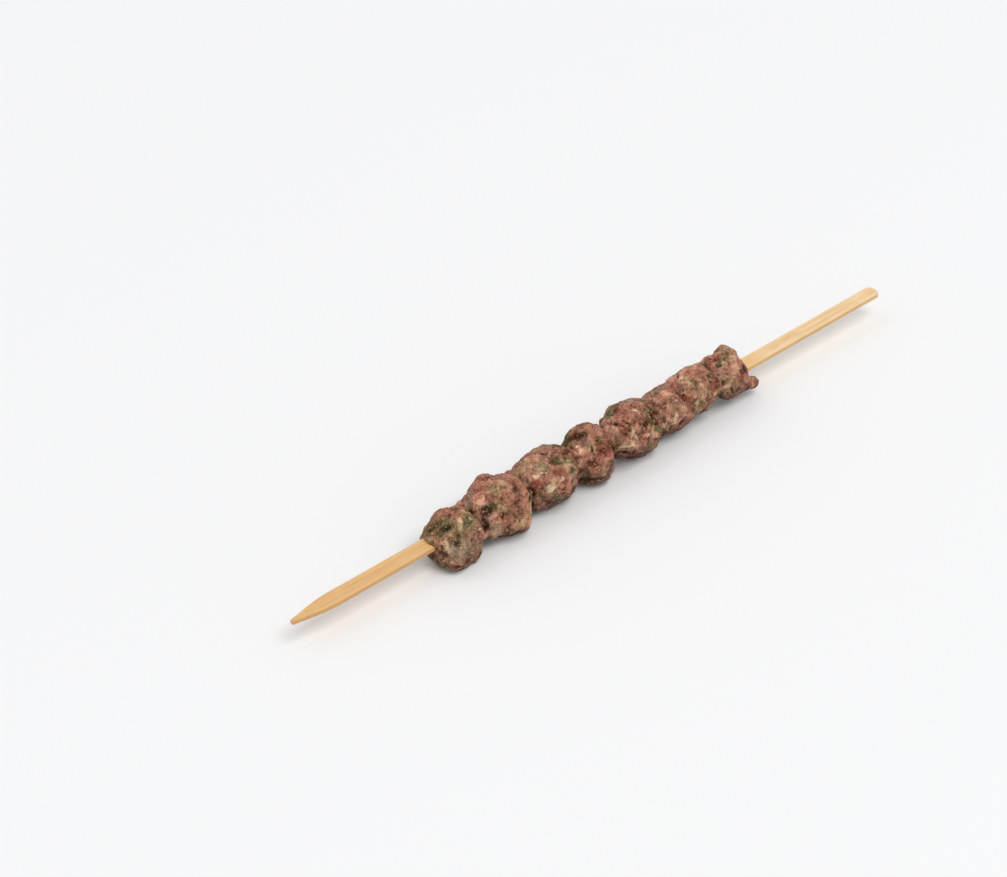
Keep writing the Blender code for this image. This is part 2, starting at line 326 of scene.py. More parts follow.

# %% [markdown]
# ## What lies where
#
# Kneaded mince is never even: a clump of herbs, a smear of fat, a redder scrap of meat or a fold lies
# here and there. Each such mark is named by what it is, how far it stands up or sinks in, how wide it
# is, and one or more places along its stroke. The dark marks are painted shade in holes, cracks and under
# overhangs, and how far a mark stands up or sinks in also paints it lighter or darker as light and shade.
# A slow random part is added, so that the sides that no mark names are just as mixed.

# %% The marks on each lump
MARKS = {
    "kofta_1": (
        ("form", 0.8, 3.2, (0.07, 107), (0.43, 83)),
        ("pink", 0.2, 2.0, (-0.1, 92), (0.35, 80)),
        ("olive", 0.0, 2.4, (-0.5, 90), (-0.3, 82)),
        ("dark", -1.1, 1.5, (-0.58, 74), (-0.44, 70)),
        ("herb", -0.3, 2.1, (-0.6, 76)),
        ("herb", -0.3, 2.4, (0.34, 58), (0.2, 52)),
        ("olive", -0.2, 1.8, (0.0, 52), (-0.22, 37)),
        ("cream", 0.2, 0.9, (0.02, 66)),
        ("purple", 0.3, 1.6, (-0.72, 60)),
        ("cream", 0.4, 1.4, (-0.78, 36), (-0.78, 16)),
        ("pink", 0.1, 0.8, (-0.54, 50)),
        ("dark", -0.6, 1.0, (-0.53, 27)),
        ("red", -0.2, 1.3, (-0.87, -4)),
        ("herb", 0.2, 2.2, (-0.91, -80), (-0.81, -56), (-0.65, -59)),
        ("grey", 0.5, 4.4, (-0.49, 5), (-0.05, 0)),
        ("herb", 0.5, 1.4, (0.44, -31)),
        ("tan", 0.3, 1.0, (-0.39, -25), (0.05, -32)),
        ("tan", 0.2, 1.6, (-0.92, 70), (-0.93, 60)),
        ("form", 0.9, 4.0, (-0.6, -30), (-0.2, -50)),
    ),
    "kofta_2": (
        ("form", 0.6, 4.0, (0.0, 110), (0.45, 85)),
        ("grey", 0.0, 2.2, (-0.64, 126), (-0.83, 116)),
        ("pink", 1.2, 1.9, (-0.73, 78), (-0.82, 62), (-0.9, 45), (-0.93, 30)),
        ("cream", 0.2, 0.6, (-0.78, 70), (-0.84, 52)),
        ("tan", 0.3, 1.8, (0.06, 76), (0.11, 62)),
        ("olive", -0.3, 1.6, (-0.22, 78), (-0.2, 68)),
        ("dark", -0.8, 2.1, (-0.78, 46), (-0.70, 44)),
        ("herb", -0.6, 1.7, (-0.62, 46)),
        ("purple", 0.9, 1.3, (-0.77, 31)),
        ("dark", -0.6, 1.6, (-0.88, 30), (-0.82, 14), (-0.84, 0)),
        ("pink", 0.5, 2.6, (-0.23, 58), (0.0, 46)),
        ("cream", 0.2, 0.7, (-0.38, 41)),
        ("red", -0.7, 1.5, (-0.38, 16), (-0.19, 10)),
        ("dark", -0.4, 0.9, (-0.36, 13)),
        ("tan", 0.9, 2.2, (0.0, -12), (0.37, -20)),
        ("dark", -0.5, 1.3, (-0.19, -27), (0.2, -36)),
        ("grey", 0.0, 2.4, (-0.71, 0), (-0.6, -25)),
        ("form", -1.2, 1.0, (0.74, 85), (0.51, 62), (0.41, 48), (0.28, 28), (0.35, 0)),
        ("pink", 0.5, 1.7, (0.68, 46), (0.55, 19), (0.51, -2)),
        ("cream", 0.7, 0.7, (0.87, 35), (0.72, 17), (0.65, -12)),
    ),
    "kofta_3": (
        ("tan", 0.2, 2.4, (-0.72, 102), (-0.55, 100)),
        ("pink", 0.4, 2.8, (-0.43, 97)),
        ("olive", 0.0, 1.5, (0.59, 106), (0.4, 108)),
        ("red", 0.3, 1.5, (0.27, 104), (0.37, 88), (0.42, 76)),
        ("dark", -0.9, 1.1, (0.10, 92), (0.02, 96)),
        ("herb", -1.0, 1.6, (0.12, 70), (0.2, 62)),
        ("olive", -0.7, 1.7, (0.29, 55), (0.55, 54), (0.65, 48)),
        ("purple", 0.6, 1.1, (-0.20, 81)),
        ("olive", 0.3, 2.7, (-0.39, 66), (-0.55, 68)),
        ("cream", 0.3, 0.7, (-0.52, 58)),
        ("cream", 0.2, 0.7, (-0.73, 62), (-0.67, 54)),
        ("red", -0.2, 1.8, (-0.75, 44), (-0.6, 40)),
        ("cream", 0.3, 1.4, (-0.53, 24), (-0.50, 18)),
        ("olive", 0.2, 2.2, (-0.56, 26)),
        ("dark", -0.5, 0.8, (-0.71, 28)),
        ("pink", 1.1, 2.6, (-0.09, 4), (0.05, 2)),
        ("red", -0.6, 0.8, (-0.25, 14), (-0.1, 20), (0.1, 18)),
        ("olive", -0.3, 1.6, (-0.2, -16), (0.1, -16)),
        ("dark", -0.3, 2.0, (-0.41, -24), (0.0, -34)),
        ("dark", -1.6, 1.1, (-0.87, 29), (-0.87, 14)),
        ("dark", -1.1, 1.0, (-0.90, -10), (-0.88, -29)),
        ("purple", 0.5, 1.1, (-0.86, 4)),
        ("red", -0.5, 1.1, (-0.80, -22)),
        ("red", 0.0, 1.6, (-0.16, 44), (0.25, 34)),
        ("cream", 0.2, 0.7, (0.03, 27)),
        ("purple", 0.0, 1.8, (0.44, 15)),
        ("cream", 0.3, 0.8, (0.52, 55)),
    ),
    "kofta_4": (
        ("pink", 0.6, 2.4, (-0.11, 103), (0.19, 89)),
        ("dark", -0.5, 1.1, (-0.48, 108), (-0.24, 90)),
        ("herb", 0.0, 2.0, (-0.70, 120), (-0.45, 130)),
        ("olive", 0.0, 1.8, (-0.8, 100)),
        ("cream", 0.3, 0.5, (-0.72, 79), (-0.77, 72)),
        ("cream", 0.3, 0.5, (-0.70, 66), (-0.82, 55), (-0.88, 42)),
        ("cream", 0.3, 0.5, (-0.86, 75), (-0.88, 66)),
        ("cream", 0.3, 0.9, (-0.89, 26)),
        ("purple", 0.1, 1.8, (-0.46, 75)),
        ("tan", 0.4, 2.4, (-0.44, 56)),
        ("red", 0.6, 2.4, (-0.50, 5)),
        ("tan", 0.3, 1.0, (-0.27, 4), (-0.18, -23)),
        ("herb", -0.5, 1.4, (-0.71, -22)),
        ("dark", -0.8, 1.8, (-0.76, -46), (-0.54, -37)),
        ("dark", -0.2, 1.3, (-0.40, -32), (-0.1, -34)),
        ("purple", 0.0, 2.0, (0.25, 0)),
        ("form", -1.3, 1.0, (-0.02, 78), (-0.08, 66), (-0.21, 48), (-0.21, 34)),
        ("olive", -0.2, 1.0, (-0.05, 68), (-0.12, 55)),
        ("red", 0.6, 2.2, (0.1, 42), (0.0, 25)),
        ("cream", 0.3, 0.6, (-0.40, 87)),
    ),
    "kofta_5": (
        ("grey", 0.2, 1.8, (0.0, 118), (0.60, 92)),
        ("purple", 0.0, 1.8, (-0.31, 112)),
        ("herb", 0.0, 1.5, (-0.50, 115), (-0.6, 105)),
        ("pink", 1.0, 4.2, (-0.2, 62)),
        # This cream spot on top of the big pink lobe is a painted highlight.
        ("cream", 0.3, 1.3, (0.02, 68)),
        ("red", -0.4, 1.3, (-0.24, 54)),
        ("cream", 0.2, 0.6, (-0.36, 45), (-0.51, 29)),
        ("red", -0.2, 0.8, (-0.45, 58), (-0.62, 39)),
        ("dark", -0.9, 1.1, (-0.72, 86), (-0.66, 74)),
        ("cream", 0.4, 0.9, (-0.83, 78)),
        ("grey", 0.3, 1.1, (-0.78, 54)),
        ("pink", 0.9, 1.8, (-0.91, 45)),
        ("form", -0.8, 0.8, (-0.70, 60), (-0.66, 44), (-0.55, 26)),
        ("tan", 1.3, 0.9, (-0.92, 0), (-0.80, 18), (-0.65, 16), (-0.48, 2)),
        ("cream", 0.0, 0.6, (-0.80, 20), (-0.55, 14)),
        ("dark", -2.2, 1.3, (-0.76, -12), (-0.64, -22), (-0.5, -20)),
        ("olive", 0.0, 2.6, (-0.01, -15), (0.33, -24)),
        ("dark", -0.2, 1.6, (-0.13, -32), (0.3, -34)),
        ("herb", 0.3, 1.3, (0.60, 15)),
        ("cream", 0.4, 1.1, (0.17, 16)),
        ("tan", 0.1, 1.6, (0.35, 28)),
        ("dark", -0.6, 0.7, (0.47, 68), (0.50, 53), (0.53, 42)),
        ("red", 0.2, 1.2, (0.60, 45)),
    ),
    "kofta_6": (
        ("grey", 0.2, 1.4, (-0.2, 112), (0.2, 102)),
        ("herb", 0.0, 1.2, (-0.45, 124)),
        ("pink", 0.8, 2.6, (-0.30, 82)),
        ("cream", 0.1, 0.6, (-0.25, 88)),
        ("dark", -0.4, 1.0, (-0.63, 104)),
        ("grey", 0.3, 1.6, (-0.79, 96)),
        ("purple", -0.9, 1.2, (-0.72, 72), (-0.68, 58)),
        ("red", 0.7, 1.5, (-0.82, 41)),
        ("olive", 0.2, 0.9, (-0.14, 44), (-0.11, 36)),
        ("herb", -0.3, 0.8, (-0.19, 32)),
        ("tan", -0.3, 1.0, (0.05, 28), (0.16, 24)),
        ("tan", 0.2, 1.3, (-0.36, 46)),
        ("cream", 0.4, 1.0, (-0.35, 20), (-0.45, 2)),
        ("dark", -0.5, 1.3, (-0.05, -9)),
        ("red", 0.0, 1.4, (-0.1, -22)),
        ("grey", 0.3, 1.2, (0.20, 6)),
    ),
    "kofta_7": (
        ("red", 0.3, 1.8, (-0.08, 97), (0.37, 80)),
        ("pink", 0.5, 1.7, (-0.24, 82)),
        ("cream", 0.3, 0.9, (-0.68, 92), (-0.58, 94)),
        ("purple", -0.8, 1.0, (-0.79, 77), (-0.84, 64)),
        ("olive", -0.7, 0.9, (-0.28, 60), (-0.40, 45)),
        ("grey", 0.3, 1.2, (-0.53, 42)),
        ("cream", 0.4, 1.0, (-0.59, 12), (-0.55, 4)),
        ("pink", 0.7, 1.6, (-0.72, 38)),
        ("tan", 0.6, 2.4, (-0.12, 28)),
        ("cream", 0.2, 0.5, (-0.10, 43), (-0.12, 50)),
        ("red", -0.4, 1.2, (0.49, 17)),
        ("red", 0.1, 1.8, (0.09, -16)),
        ("dark", -0.3, 0.9, (0.39, 58), (0.37, 44)),
        ("olive", -0.3, 1.1, (-0.7, -12)),
    ),
    "kofta_8": (
        ("pink", 0.3, 1.5, (0.27, 110)),
        ("red", 0.3, 1.6, (-0.60, 108), (-0.39, 102)),
        ("dark", -0.8, 1.1, (-0.67, 77), (-0.63, 70)),
        ("herb", -0.2, 1.8, (-0.62, 76)),
        ("cream", 0.3, 0.5, (-0.48, 78), (-0.63, 67), (-0.76, 58)),
        ("grey", 0.3, 0.9, (-0.44, 82)),
        ("tan", 0.4, 1.8, (-0.04, 66)),
        ("pink", 0.5, 2.0, (-0.27, 48)),
        ("red", -0.3, 1.7, (-0.22, 22), (0.0, 20)),
        ("tan", 0.5, 1.9, (-0.69, 7)),
        ("tan", 0.1, 0.8, (0.73, -34)),
        ("dark", -0.4, 1.1, (-0.34, -16), (-0.1, -22)),
        ("dark", -0.4, 1.0, (0.22, 40), (0.2, 28)),
        ("herb", 0.0, 1.0, (-0.44, -22)),
        ("form", 1.0, 1.6, (0.55, -38)),
        ("red", 0.0, 2.0, (0.60, -34)),
        ("dark", 0.0, 1.9, (0.74, -44), (0.6, -52), (0.3, -50)),
    ),
}
# How each lump came out of the grill: how much ruddier and how much paler than the rest.
TONES = {
    "kofta_1": (-0.55, -0.04),
    "kofta_2": (0.1, 0.0),
    "kofta_3": (0.0, 0.05),
    "kofta_4": (0.2, -0.07),
    "kofta_5": (0.1, 0.0),
    "kofta_6": (0.2, 0.05),
    "kofta_7": (0.35, 0.2),
    "kofta_8": (0.2, 0.07),
}
MARK_KINDS = ("herb", "olive", "cream", "red", "pink", "grey", "tan", "purple", "dark")
print(sum(map(len, MARKS.values())), "marks,", len(MARK_KINDS), "kinds of them with a colour of their own")


# %% Lay the marks on the skins
def lay_marks(name, skin):
    """Stores on the skin how much of each kind of mark a point has, and how far the marks lift it."""
    points = np.empty(len(skin.vertices) * 3, np.float32)
    skin.vertices.foreach_get("co", points)
    points = points.reshape(-1, 3)
    amounts = {kind: np.zeros(len(points), np.float32) for kind in MARK_KINDS}
    lift = np.zeros(len(points), np.float32)
    for kind, height, width, *places in MARKS[name]:
        stops = [spot(name, *place) for place in places]
        stroke = stops[:1]
        for start, end in zip(stops, stops[1:]):
            steps = math.ceil((end - start).length / (0.6 * width * MM))
            stroke += [start.lerp(end, step / steps) for step in range(1, steps + 1)]
        away = np.min([((points - np.array(p, np.float32)) ** 2).sum(axis=1) for p in stroke], axis=0)
        share = np.exp(-away / (width * MM) ** 2)
        lift += height * MM * share
        if kind in amounts:
            amounts[kind] = np.maximum(amounts[kind], share)
    ruddy, pale = TONES[name]
    extra = {"lift": lift, "ruddy": np.full_like(lift, ruddy), "pale": np.full_like(lift, pale)}
    for kind, amount in (amounts | extra).items():
        skin.attributes.new(kind, "FLOAT", "POINT").data.foreach_set("value", amount)


for name, skin in skins.items():
    lay_marks(name, skin)
    print(name, len(MARKS[name]), "marks")

# %% [markdown]
# ## The grain of the mince
#
# A mincer pushes meat through a plate of holes about 4 mm wide, and kneading breaks those cords into
# granules and crumbs of 1 to 3 mm that stick together. Voronoi cells are just that, packed side by side:
# three sizes of them give the lobes that the fingers left, the granules and the crumbs. A noise drawn out
# four times its width gives torn strands, a fine one roughens them, and a few cells hold a pit. A slow noise
# pushes the whole pattern about, so nothing looks regular. Where a neighbouring lump is close the meat
# swells towards it. The patterns are stored as attributes, so that the colour follows the relief.


# %% Relief tree
def new_tree(name, sizes, collection=None):
    """A Geometry Nodes tree: geometry in and out, a number for each size, and a collection if named."""
    tree = bpy.data.node_groups.new(name, "GeometryNodeTree")
    tree.interface.new_socket("Geometry", in_out="OUTPUT", socket_type="NodeSocketGeometry")
    tree.interface.new_socket("Geometry", in_out="INPUT", socket_type="NodeSocketGeometry")
    for size, value in sizes.items():
        socket = tree.interface.new_socket(size, in_out="INPUT", socket_type="NodeSocketFloat")
        socket.default_value = value
    if collection:
        tree.interface.new_socket(collection, in_out="INPUT", socket_type="NodeSocketCollection")
    tree.interface.new_socket("Material", in_out="INPUT", socket_type="NodeSocketMaterial")
    return tree, add(tree, "NodeGroupInput"), add(tree, "NodeGroupOutput")


def floored(tree, shape):
    """The geometry with nothing below the floor: what rests there is flat."""
    now = add(tree, "ShaderNodeSeparateXYZ", {0: add(tree, "GeometryNodeInputPosition")})
    above = add(tree, "ShaderNodeMath", {0: now.outputs["Z"], 1: 0.0}, operation="MAXIMUM")
    kept = add(tree, "ShaderNodeCombineXYZ", {"X": now.outputs["X"], "Y": now.outputs["Y"], "Z": above})
    return add(tree, "GeometryNodeSetPosition", {"Geometry": shape, "Position": kept})


def stored_on(tree, shape, patterns):
    """The geometry with each pattern kept on it under its name, so that a material can read it."""
    for label, value in patterns.items():
        shape = add(tree, "GeometryNodeStoreNamedAttribute",
                    {"Geometry": shape, "Name": label, "Value": value}, data_type="FLOAT", domain="POINT")
    return shape


def end_tree(tree, shape, material, out):
    """The last steps of every tree: smooth shading, real geometry in place of instances, the material."""
    smooth = add(tree, "GeometryNodeSetShadeSmooth", {"Geometry": shape})
    real = add(tree, "GeometryNodeRealizeInstances", {"Geometry": smooth})
    dressed = add(tree, "GeometryNodeSetMaterial", {"Geometry": real, "Material": material})
    tree.links.new(dressed.outputs[0], out.inputs["Geometry"])


GRAIN_SIZES = {
    "Lobe size": 7.5,
    "Lobe height": 1.7,
    "Granule size": 2.8,
    "Granule height": 0.5,
    "Crumb size": 1.3,
    "Crumb height": 0.28,
    "Strand size": 0.8,
    "Strand height": 0.55,
    "Grain size": 0.45,
    "Grain height": 0.12,
    "Pit size": 4.2,
    "Pit depth": 1.1,
    "Join reach": 2.6,
    "Fullness": 0.1,
}


def grain_tree():
    tree, given, out = new_tree("Mince grain", GRAIN_SIZES, "Neighbours")
    size = given.outputs
    normal = add(tree, "GeometryNodeInputNormal")
    here = add(tree, "GeometryNodeInputPosition")
    place = add(tree, "ShaderNodeVectorMath", {0: here, "Scale": 1 / MM}, operation="SCALE")
    # A slow noise pushes the pattern about by a few millimetres, so no cell keeps a regular shape.
    drift = add(tree, "ShaderNodeTexNoise", {"Vector": place, "Scale": 0.2, "Detail": 1.5})
    centred = add(tree, "ShaderNodeVectorMath", {0: drift.outputs["Color"], 1: (0.5, 0.5, 0.5)},
                  operation="SUBTRACT")
    warped = add(tree, "ShaderNodeVectorMath", {0: centred, 1: (8.0, 8.0, 8.0), 2: place},
                 operation="MULTIPLY_ADD")
    each = {
        name: add(tree, "ShaderNodeMath", {0: 1.0, 1: size[name + " size"]}, operation="DIVIDE")
        for name in ("Lobe", "Granule", "Crumb", "Strand", "Grain", "Pit")
    }
    # Cells: lobes where fingers pressed, granules of mince, and crumbs on them. Each is a dome.
    domes = {
        name: add(tree, "ShaderNodeTexVoronoi", {"Vector": warped, "Scale": each[name], "Smoothness": soft},
                  feature="SMOOTH_F1")
        for name, soft in (("Lobe", 0.35), ("Granule", 0.6), ("Crumb", 0.6))
    }
    # Strands: a noise drawn out to four times its width, and ridged so that it reads as fibres.
    turned = add(tree, "ShaderNodeVectorRotate", {"Vector": warped, "Rotation": (0.5, 0.9, 0.3)},
                 rotation_type="EULER_XYZ")
    drawn_out = add(tree, "ShaderNodeVectorMath", {0: turned, 1: (0.25, 1.0, 1.0)}, operation="MULTIPLY")
    strands = add(tree, "ShaderNodeTexNoise",
                  {"Vector": drawn_out, "Scale": each["Strand"], "Detail": 2.0, "Distortion": 0.8})
    grain = add(tree, "ShaderNodeTexNoise", {"Vector": place, "Scale": each["Grain"], "Detail": 1.5})
    # Pits: a small hole in the middle of some cells.
    holes = add(tree, "ShaderNodeTexVoronoi", {"Vector": warped, "Scale": each["Pit"]}, feature="F1")
    chance = add(tree, "FunctionNodeSeparateColor", {0: holes.outputs["Color"]})
    chosen = add(tree, "ShaderNodeMath", {0: chance, 1: 0.75}, operation="GREATER_THAN")
    round_hole = add(tree, "ShaderNodeMapRange",
                     {"Value": holes, "From Min": 0.06, "From Max": 0.3, "To Min": 1.0, "To Max": 0.0},
                     interpolation_type="SMOOTHSTEP")
    pit = add(tree, "ShaderNodeMath", {0: round_hole, 1: chosen}, operation="MULTIPLY")
    # Near a neighbour the meat swells towards it, so that the two run together instead of only touching.
    others = add(tree, "GeometryNodeCollectionInfo", {"Collection": size["Neighbours"]})
    others = add(tree, "GeometryNodeRealizeInstances", {"Geometry": others})
    near = add(tree, "GeometryNodeProximity", {0: others}, target_element="FACES")
    reach = add(tree, "ShaderNodeMath", {0: size["Join reach"], 1: MM}, operation="MULTIPLY")
    closeness = add(tree, "ShaderNodeMapRange",
                    {"Value": near.outputs["Distance"], "From Min": 0.0, "From Max": reach,
                     "To Min": 1.0, "To Max": 0.0})
    squared = add(tree, "ShaderNodeMath", {0: closeness, 1: 2.0}, operation="POWER")
    swell = add(tree, "ShaderNodeMath", {0: squared, 1: 0.3}, operation="MULTIPLY")
    # Inside a neighbour nothing shows, so the bits scattered later leave those places out.
    their_normal = add(tree, "GeometryNodeSampleNearestSurface", {"Mesh": others, "Value": normal},
                       data_type="FLOAT_VECTOR")
    across = add(tree, "ShaderNodeVectorMath", {0: here, 1: near.outputs["Position"]}, operation="SUBTRACT")
    side = add(tree, "ShaderNodeVectorMath", {0: across, 1: their_normal}, operation="DOT_PRODUCT")
    buried = add(tree, "ShaderNodeMath", {0: side.outputs["Value"], 1: 0.0}, operation="LESS_THAN")
    # Each layer of relief, as a pattern, its middle value and what one unit of it does to the height.
    layers = (
        (domes["Lobe"], 0.5, "Lobe height", -1.0),
        (domes["Granule"], 0.45, "Granule height", -1.0),
        (domes["Crumb"], 0.45, "Crumb height", -1.0),
        (strands, 0.5, "Strand height", 1.0),
        (grain, 0.5, "Grain height", 1.0),
        (pit, 0.0, "Pit depth", -1.0),
        (swell, 0.0, "Join reach", 1.0),
    )
    lift = add(tree, "GeometryNodeInputNamedAttribute", {"Name": "lift"}, data_type="FLOAT")
    height = add(tree, "ShaderNodeMath", {0: lift, 1: 1 / MM, 2: size["Fullness"]}, operation="MULTIPLY_ADD")
    for pattern, middle, tall, sign in layers:
        shifted = add(tree, "ShaderNodeMath", {0: pattern, 1: middle}, operation="SUBTRACT")
        scaled = add(tree, "ShaderNodeMath", {0: size[tall], 1: sign}, operation="MULTIPLY")
        height = add(tree, "ShaderNodeMath", {0: shifted, 1: scaled, 2: height}, operation="MULTIPLY_ADD")
    metres = add(tree, "ShaderNodeMath", {0: height, 1: MM}, operation="MULTIPLY")
    push = add(tree, "ShaderNodeVectorMath", {0: normal, "Scale": metres}, operation="SCALE")
    cells = add(tree, "ShaderNodeTexVoronoi", {"Vector": warped, "Scale": each["Granule"]}, feature="F1")
    # valley, hollow and joint are kept so that the material can paint shade into the hollows and where lumps
    # meet.
    shape = stored_on(tree, given.outputs["Geometry"], {
        "tint": add(tree, "FunctionNodeSeparateColor", {0: cells.outputs["Color"]}),
        "valley": domes["Granule"],
        "hollow": domes["Lobe"],
        "strand": strands,
        "pit": pit,
        "facing": add(tree, "ShaderNodeSeparateXYZ", {0: normal}).outputs["Z"],
        "joint": closeness,
        "buried": buried,
    })
    moved = add(tree, "GeometryNodeSetPosition", {"Geometry": shape, "Offset": push})
    end_tree(tree, floored(tree, moved), size["Material"], out)
    return tree


def run_tree(obj, tree, **inputs):
    """Gives obj the tree as a modifier, and sets the tree's inputs by their sockets' identifiers."""
    modifier = obj.modifiers.new(tree.name, "NODES")
    modifier.node_group = tree
    sockets = {s.name: s.identifier for s in tree.interface.items_tree if s.in_out == "INPUT"}
    for name, value in inputs.items():
        modifier[sockets[name]] = value


mince_grain = grain_tree()
print("relief tree:", len(mince_grain.nodes), "nodes")

# %% [markdown]
# ## Cooked mince
#
# Cooked minced lamb or beef is grey-brown to red-brown: the pigment turns at 60 to 75 degrees, and stays
# pinker where the meat was thick. Each granule has its own tint, because lean meat, fat and
# connective tissue take the heat differently. Fat and juice leave a moist film, so the surface is neither
# matt nor glossy, and light goes a little way into it, which softens the shading.


# %% Cooked mince
def new_material(name):
    material = bpy.data.materials.new(name)
    material.use_nodes = True
    material.node_tree.nodes.clear()
    tree = material.node_tree
    surface = add(tree, "ShaderNodeBsdfPrincipled")
    add(tree, "ShaderNodeOutputMaterial", {"Surface": surface})
    return material, tree, surface


def place_in_mm(tree):
    """The place on the piece in millimetres, so that a pattern's scale is one over its real size."""
    place = add(tree, "ShaderNodeTexCoord").outputs["Object"]
    return add(tree, "ShaderNodeVectorMath", {0: place, "Scale": 1 / MM}, operation="SCALE")


def ramp(tree, value, stops):
    """A colour ramp node with the given (position, hex colour) stops."""
    node = add(tree, "ShaderNodeValToRGB", {0: value})
    elements = node.color_ramp.elements
    while len(elements) < len(stops):
        elements.new(0.5)
    for element, (position, code) in zip(elements, stops):
        element.position = position
        element.color = colour(code)
    return node


# What each kind of mark does to the colour: its attribute, its colour, and how much of the meat it hides.
MARK_COLOURS = (
    ("grey", "8a7a62", 0.7),
    ("tan", "b08a66", 0.7),
    ("pink", "b6765d", 0.65),
    ("purple", "775147", 0.7),
    ("olive", "7a6e46", 0.75),
    ("red", "8f4a38", 0.7),
    ("herb", "504f29", 0.8),
    ("cream", "d4b48f", 0.8),
    # The dark kind is painted shade, laid in holes, cracks and under overhangs.
    ("dark", "2e1e11", 0.9),
)


def share_of(tree, value, low, high, most):
    """value as a share: 0 at low, most at high, and level beyond them."""
    return add(tree, "ShaderNodeMapRange",
               {"Value": value, "From Min": low, "From Max": high, "To Min": 0.0, "To Max": most},
               interpolation_type="SMOOTHSTEP")


def tinted(tree, share, under, code):
    """The colour under, with this share of another colour over it."""
    return add(tree, "ShaderNodeMix", {"Factor": share, "A": under, "B": colour(code)}, data_type="RGBA")


def total(tree, start, parts):
    """start plus each (pattern, its middle value, weight) of parts."""
    for pattern, middle, weight in parts:
        shifted = add(tree, "ShaderNodeMath", {0: pattern, 1: middle}, operation="SUBTRACT")
        start = add(tree, "ShaderNodeMath", {0: shifted, 1: weight, 2: start}, operation="MULTIPLY_ADD")
    return start


